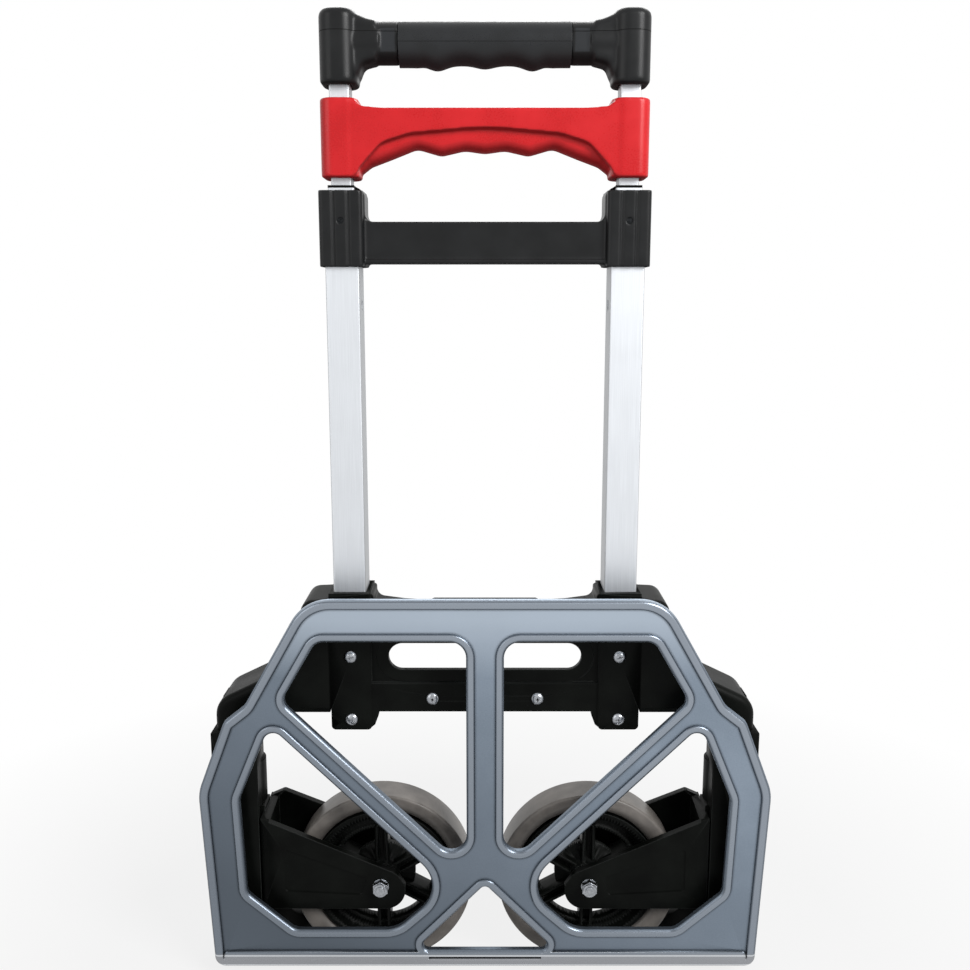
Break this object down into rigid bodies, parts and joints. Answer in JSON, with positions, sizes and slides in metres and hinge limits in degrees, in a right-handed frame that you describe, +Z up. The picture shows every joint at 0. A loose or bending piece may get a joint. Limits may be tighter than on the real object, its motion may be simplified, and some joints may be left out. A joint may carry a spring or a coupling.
{
  "type": "hand truck",
  "caption": "Folding hand truck: open-work toe plate on a hinge, wheels on swinging forks, telescopic twin-tube handle with a lift release, shown folded flat.",
  "frame": {"origin": "on the floor, at the middle of the width and of the folded depth", "axes": "+Z up, -Y to the front, where the toe plate stands when folded, +X to the right in the front view"},
  "size_m": [0.3866, 0.064, 0.648],
  "materials": {
    "plate_aluminium": "die cast, fine satin blue-grey lacquer, bright beads",
    "tube_aluminium": "satin anodised extrusion",
    "black_moulding": "satin moulded black",
    "grip_black": "soft satin grip",
    "red_moulding": "gloss moulded red",
    "tyre_rubber": "matt grey solid rubber",
    "zinc_steel": "bright zinc plating",
    "pin_steel": "ground steel",
    "spring_steel": "oiled spring wire",
    "nylon": "dark moulded nylon"
  },
  "bodies": {
    "frame": {"lower_frame": "black_moulding", "frame_back_cover": "black_moulding", "upper_crossbar": "black_moulding", "leg_screws": "zinc_steel", "socket_screws": "zinc_steel", "crossbar_screws": "zinc_steel", "collar_screws": "zinc_steel", "left_leg": "black_moulding", "right_leg": "black_moulding", "left_outer_tube": "tube_aluminium", "right_outer_tube": "tube_aluminium", "left_tube_bush": "nylon", "right_tube_bush": "nylon", "left_fork_pin": "pin_steel", "right_fork_pin": "pin_steel", "left_fork_spring": "spring_steel", "right_fork_spring": "spring_steel", "left_toe_pin": "pin_steel", "right_toe_pin": "pin_steel"},
    "middle_stage": {"left_middle_tube": "tube_aluminium", "right_middle_tube": "tube_aluminium", "left_tube_cap": "black_moulding", "right_tube_cap": "black_moulding", "left_middle_plug": "nylon", "right_middle_plug": "nylon"},
    "upper_stage": {"left_inner_tube": "tube_aluminium", "right_inner_tube": "tube_aluminium", "left_inner_plug": "nylon", "right_inner_plug": "nylon", "top_handle": "black_moulding", "handle_grip": "grip_black", "handle_screws": "zinc_steel", "release_springs": "spring_steel"},
    "release": {"release_handle": "red_moulding", "release_cross_pins": "pin_steel", "left_release_rod": "pin_steel", "right_release_rod": "pin_steel"},
    "toe_plate_body": {"toe_plate": "plate_aluminium"},
    "left_fork_body": {"left_fork": "black_moulding", "left_axle_bolt": "zinc_steel", "left_axle_nut": "zinc_steel", "left_axle_washers": "zinc_steel"},
    "left_wheel": {"left_tyre": "tyre_rubber", "left_hub": "black_moulding", "left_wheel_bush": "nylon"},
    "left_middle_lock": {"left_middle_lock_pin": "pin_steel"},
    "left_upper_lock": {"left_inner_lock_pin": "pin_steel"},
    "right_fork_body": {"right_fork": "black_moulding", "right_axle_bolt": "zinc_steel", "right_axle_nut": "zinc_steel", "right_axle_washers": "zinc_steel"},
    "right_wheel": {"right_tyre": "tyre_rubber", "right_hub": "black_moulding", "right_wheel_bush": "nylon"},
    "right_middle_lock": {"right_middle_lock_pin": "pin_steel"},
    "right_upper_lock": {"right_inner_lock_pin": "pin_steel"}
  },
  "joints": [
    {"name": "middle_stage_slide", "type": "slide", "parent": "frame", "child": "middle_stage", "axis": [0, 0, 1], "range_m": [0, 0.19]},
    {"name": "upper_stage_slide", "type": "slide", "parent": "middle_stage", "child": "upper_stage", "axis": [0, 0, 1], "range_m": [0, 0.175]},
    {"name": "release_lift", "type": "slide", "parent": "upper_stage", "child": "release", "axis": [0, 0, 1], "range_m": [0, 0.008], "stiffness_N_per_m": 800, "springref_m": -0.006, "deforming": ["release_springs"]},
    {"name": "toe_plate_fold", "type": "hinge", "parent": "frame", "child": "toe_plate_body", "pos_m": [0, -0.014, 0.018], "axis": [1, 0, 0], "range_deg": [0, 90]},
    {"name": "left_fork_fold", "type": "hinge", "parent": "frame", "child": "left_fork_body", "pos_m": [-0.17, 0.005, 0.0798], "axis": [0, 0, 1], "range_deg": [0, 90]},
    {"name": "left_wheel_spin", "type": "hinge", "parent": "left_fork_body", "child": "left_wheel", "pos_m": [-0.073, 0.005, 0.0635], "axis": [0, 1, 0], "continuous": true},
    {"name": "left_middle_lock_travel", "type": "slide", "parent": "middle_stage", "child": "left_middle_lock", "axis": [-1, 0, 0], "range_m": [0, 0.002], "stiffness_N_per_m": 300, "springref_m": -0.003},
    {"name": "left_upper_lock_travel", "type": "slide", "parent": "upper_stage", "child": "left_upper_lock", "axis": [-1, 0, 0], "range_m": [0, 0.002]},
    {"name": "right_fork_fold", "type": "hinge", "parent": "frame", "child": "right_fork_body", "pos_m": [0.17, 0.005, 0.0798], "axis": [0, 0, -1], "range_deg": [0, 90]},
    {"name": "right_wheel_spin", "type": "hinge", "parent": "right_fork_body", "child": "right_wheel", "pos_m": [0.073, 0.005, 0.0635], "axis": [0, 1, 0], "continuous": true},
    {"name": "right_middle_lock_travel", "type": "slide", "parent": "middle_stage", "child": "right_middle_lock", "axis": [1, 0, 0], "range_m": [0, 0.002], "stiffness_N_per_m": 300, "springref_m": -0.003},
    {"name": "right_upper_lock_travel", "type": "slide", "parent": "upper_stage", "child": "right_upper_lock", "axis": [1, 0, 0], "range_m": [0, 0.002]}
  ],
  "couplings": [
    {"joint": "left_fork_fold", "follows": "toe_plate_fold", "ratio": 1},
    {"joint": "left_upper_lock_travel", "follows": "release_lift", "ratio": 0.25},
    {"joint": "right_fork_fold", "follows": "toe_plate_fold", "ratio": 1},
    {"joint": "right_upper_lock_travel", "follows": "release_lift", "ratio": 0.25}
  ]
}
